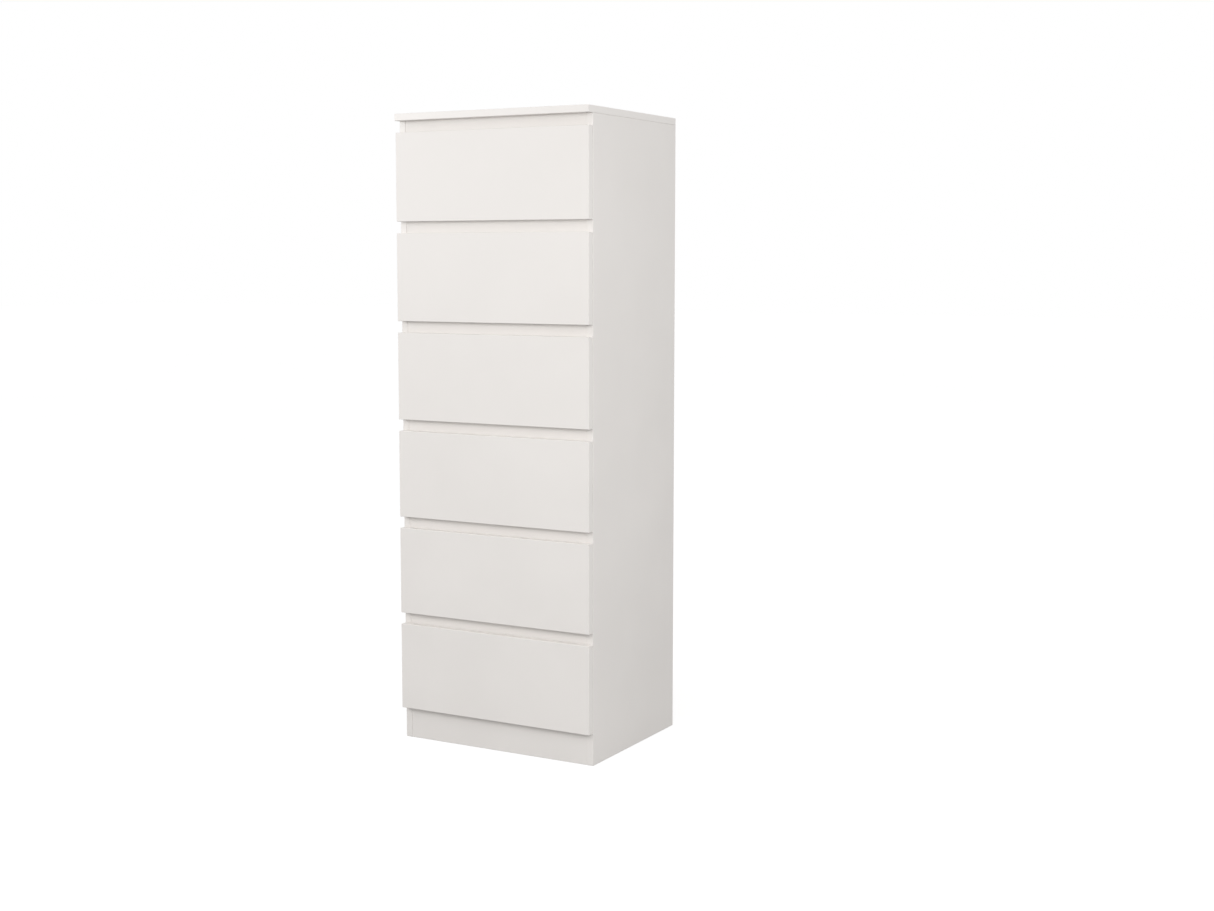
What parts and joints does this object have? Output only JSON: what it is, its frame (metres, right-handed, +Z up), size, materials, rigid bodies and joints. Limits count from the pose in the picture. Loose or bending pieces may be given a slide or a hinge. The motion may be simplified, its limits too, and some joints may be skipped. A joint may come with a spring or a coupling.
{
  "type": "chest of drawers",
  "caption": "Tall narrow chest of handleless drawers in white melamine board, with finger gaps between overlay fronts, a thin flush top, a plinth and roller runners.",
  "frame": {"origin": "on the floor, under the middle of the chest's overall width and depth", "axes": "+Z up; +X to the right of a person facing the chest; the drawer fronts face -Y and the hardboard back faces +Y"},
  "size_m": [0.48, 0.395, 1.375],
  "materials": {
    "white_board": "warm white melamine-faced board with matching edge band, satin",
    "drawer_board": "white foil-wrapped drawer board, satin",
    "hardboard": "thin hardboard, white-lacquered inside and raw brown outside",
    "runner_steel": "white epoxy-coated folded steel"
  },
  "bodies": {
    "case": {"side_panel_left": "white_board", "side_panel_right": "white_board", "top_panel": "white_board", "bottom_panel": "white_board", "plinth_front": "white_board", "plinth_rear": "white_board", "back_panel": "hardboard", "front_rail_1": "white_board", "runner_1_left": "runner_steel", "runner_1_right": "runner_steel", "front_rail_2": "white_board", "runner_2_left": "runner_steel", "runner_2_right": "runner_steel", "front_rail_3": "white_board", "runner_3_left": "runner_steel", "runner_3_right": "runner_steel", "front_rail_4": "white_board", "runner_4_left": "runner_steel", "runner_4_right": "runner_steel", "front_rail_5": "white_board", "runner_5_left": "runner_steel", "runner_5_right": "runner_steel", "front_rail_6": "white_board", "runner_6_left": "runner_steel", "runner_6_right": "runner_steel"},
    "drawer_1": {"drawer_1_front": "white_board", "drawer_1_side_left": "drawer_board", "drawer_1_side_right": "drawer_board", "drawer_1_back": "drawer_board", "drawer_1_bottom": "hardboard"},
    "drawer_2": {"drawer_2_front": "white_board", "drawer_2_side_left": "drawer_board", "drawer_2_side_right": "drawer_board", "drawer_2_back": "drawer_board", "drawer_2_bottom": "hardboard"},
    "drawer_3": {"drawer_3_front": "white_board", "drawer_3_side_left": "drawer_board", "drawer_3_side_right": "drawer_board", "drawer_3_back": "drawer_board", "drawer_3_bottom": "hardboard"},
    "drawer_4": {"drawer_4_front": "white_board", "drawer_4_side_left": "drawer_board", "drawer_4_side_right": "drawer_board", "drawer_4_back": "drawer_board", "drawer_4_bottom": "hardboard"},
    "drawer_5": {"drawer_5_front": "white_board", "drawer_5_side_left": "drawer_board", "drawer_5_side_right": "drawer_board", "drawer_5_back": "drawer_board", "drawer_5_bottom": "hardboard"},
    "drawer_6": {"drawer_6_front": "white_board", "drawer_6_side_left": "drawer_board", "drawer_6_side_right": "drawer_board", "drawer_6_back": "drawer_board", "drawer_6_bottom": "hardboard"}
  },
  "joints": [
    {"name": "drawer_1_slide", "type": "slide", "parent": "case", "child": "drawer_1", "axis": [0, -1, 0], "range_m": [0, 0.26]},
    {"name": "drawer_2_slide", "type": "slide", "parent": "case", "child": "drawer_2", "axis": [0, -1, 0], "range_m": [0, 0.26]},
    {"name": "drawer_3_slide", "type": "slide", "parent": "case", "child": "drawer_3", "axis": [0, -1, 0], "range_m": [0, 0.26]},
    {"name": "drawer_4_slide", "type": "slide", "parent": "case", "child": "drawer_4", "axis": [0, -1, 0], "range_m": [0, 0.26]},
    {"name": "drawer_5_slide", "type": "slide", "parent": "case", "child": "drawer_5", "axis": [0, -1, 0], "range_m": [0, 0.26]},
    {"name": "drawer_6_slide", "type": "slide", "parent": "case", "child": "drawer_6", "axis": [0, -1, 0], "range_m": [0, 0.26]}
  ]
}
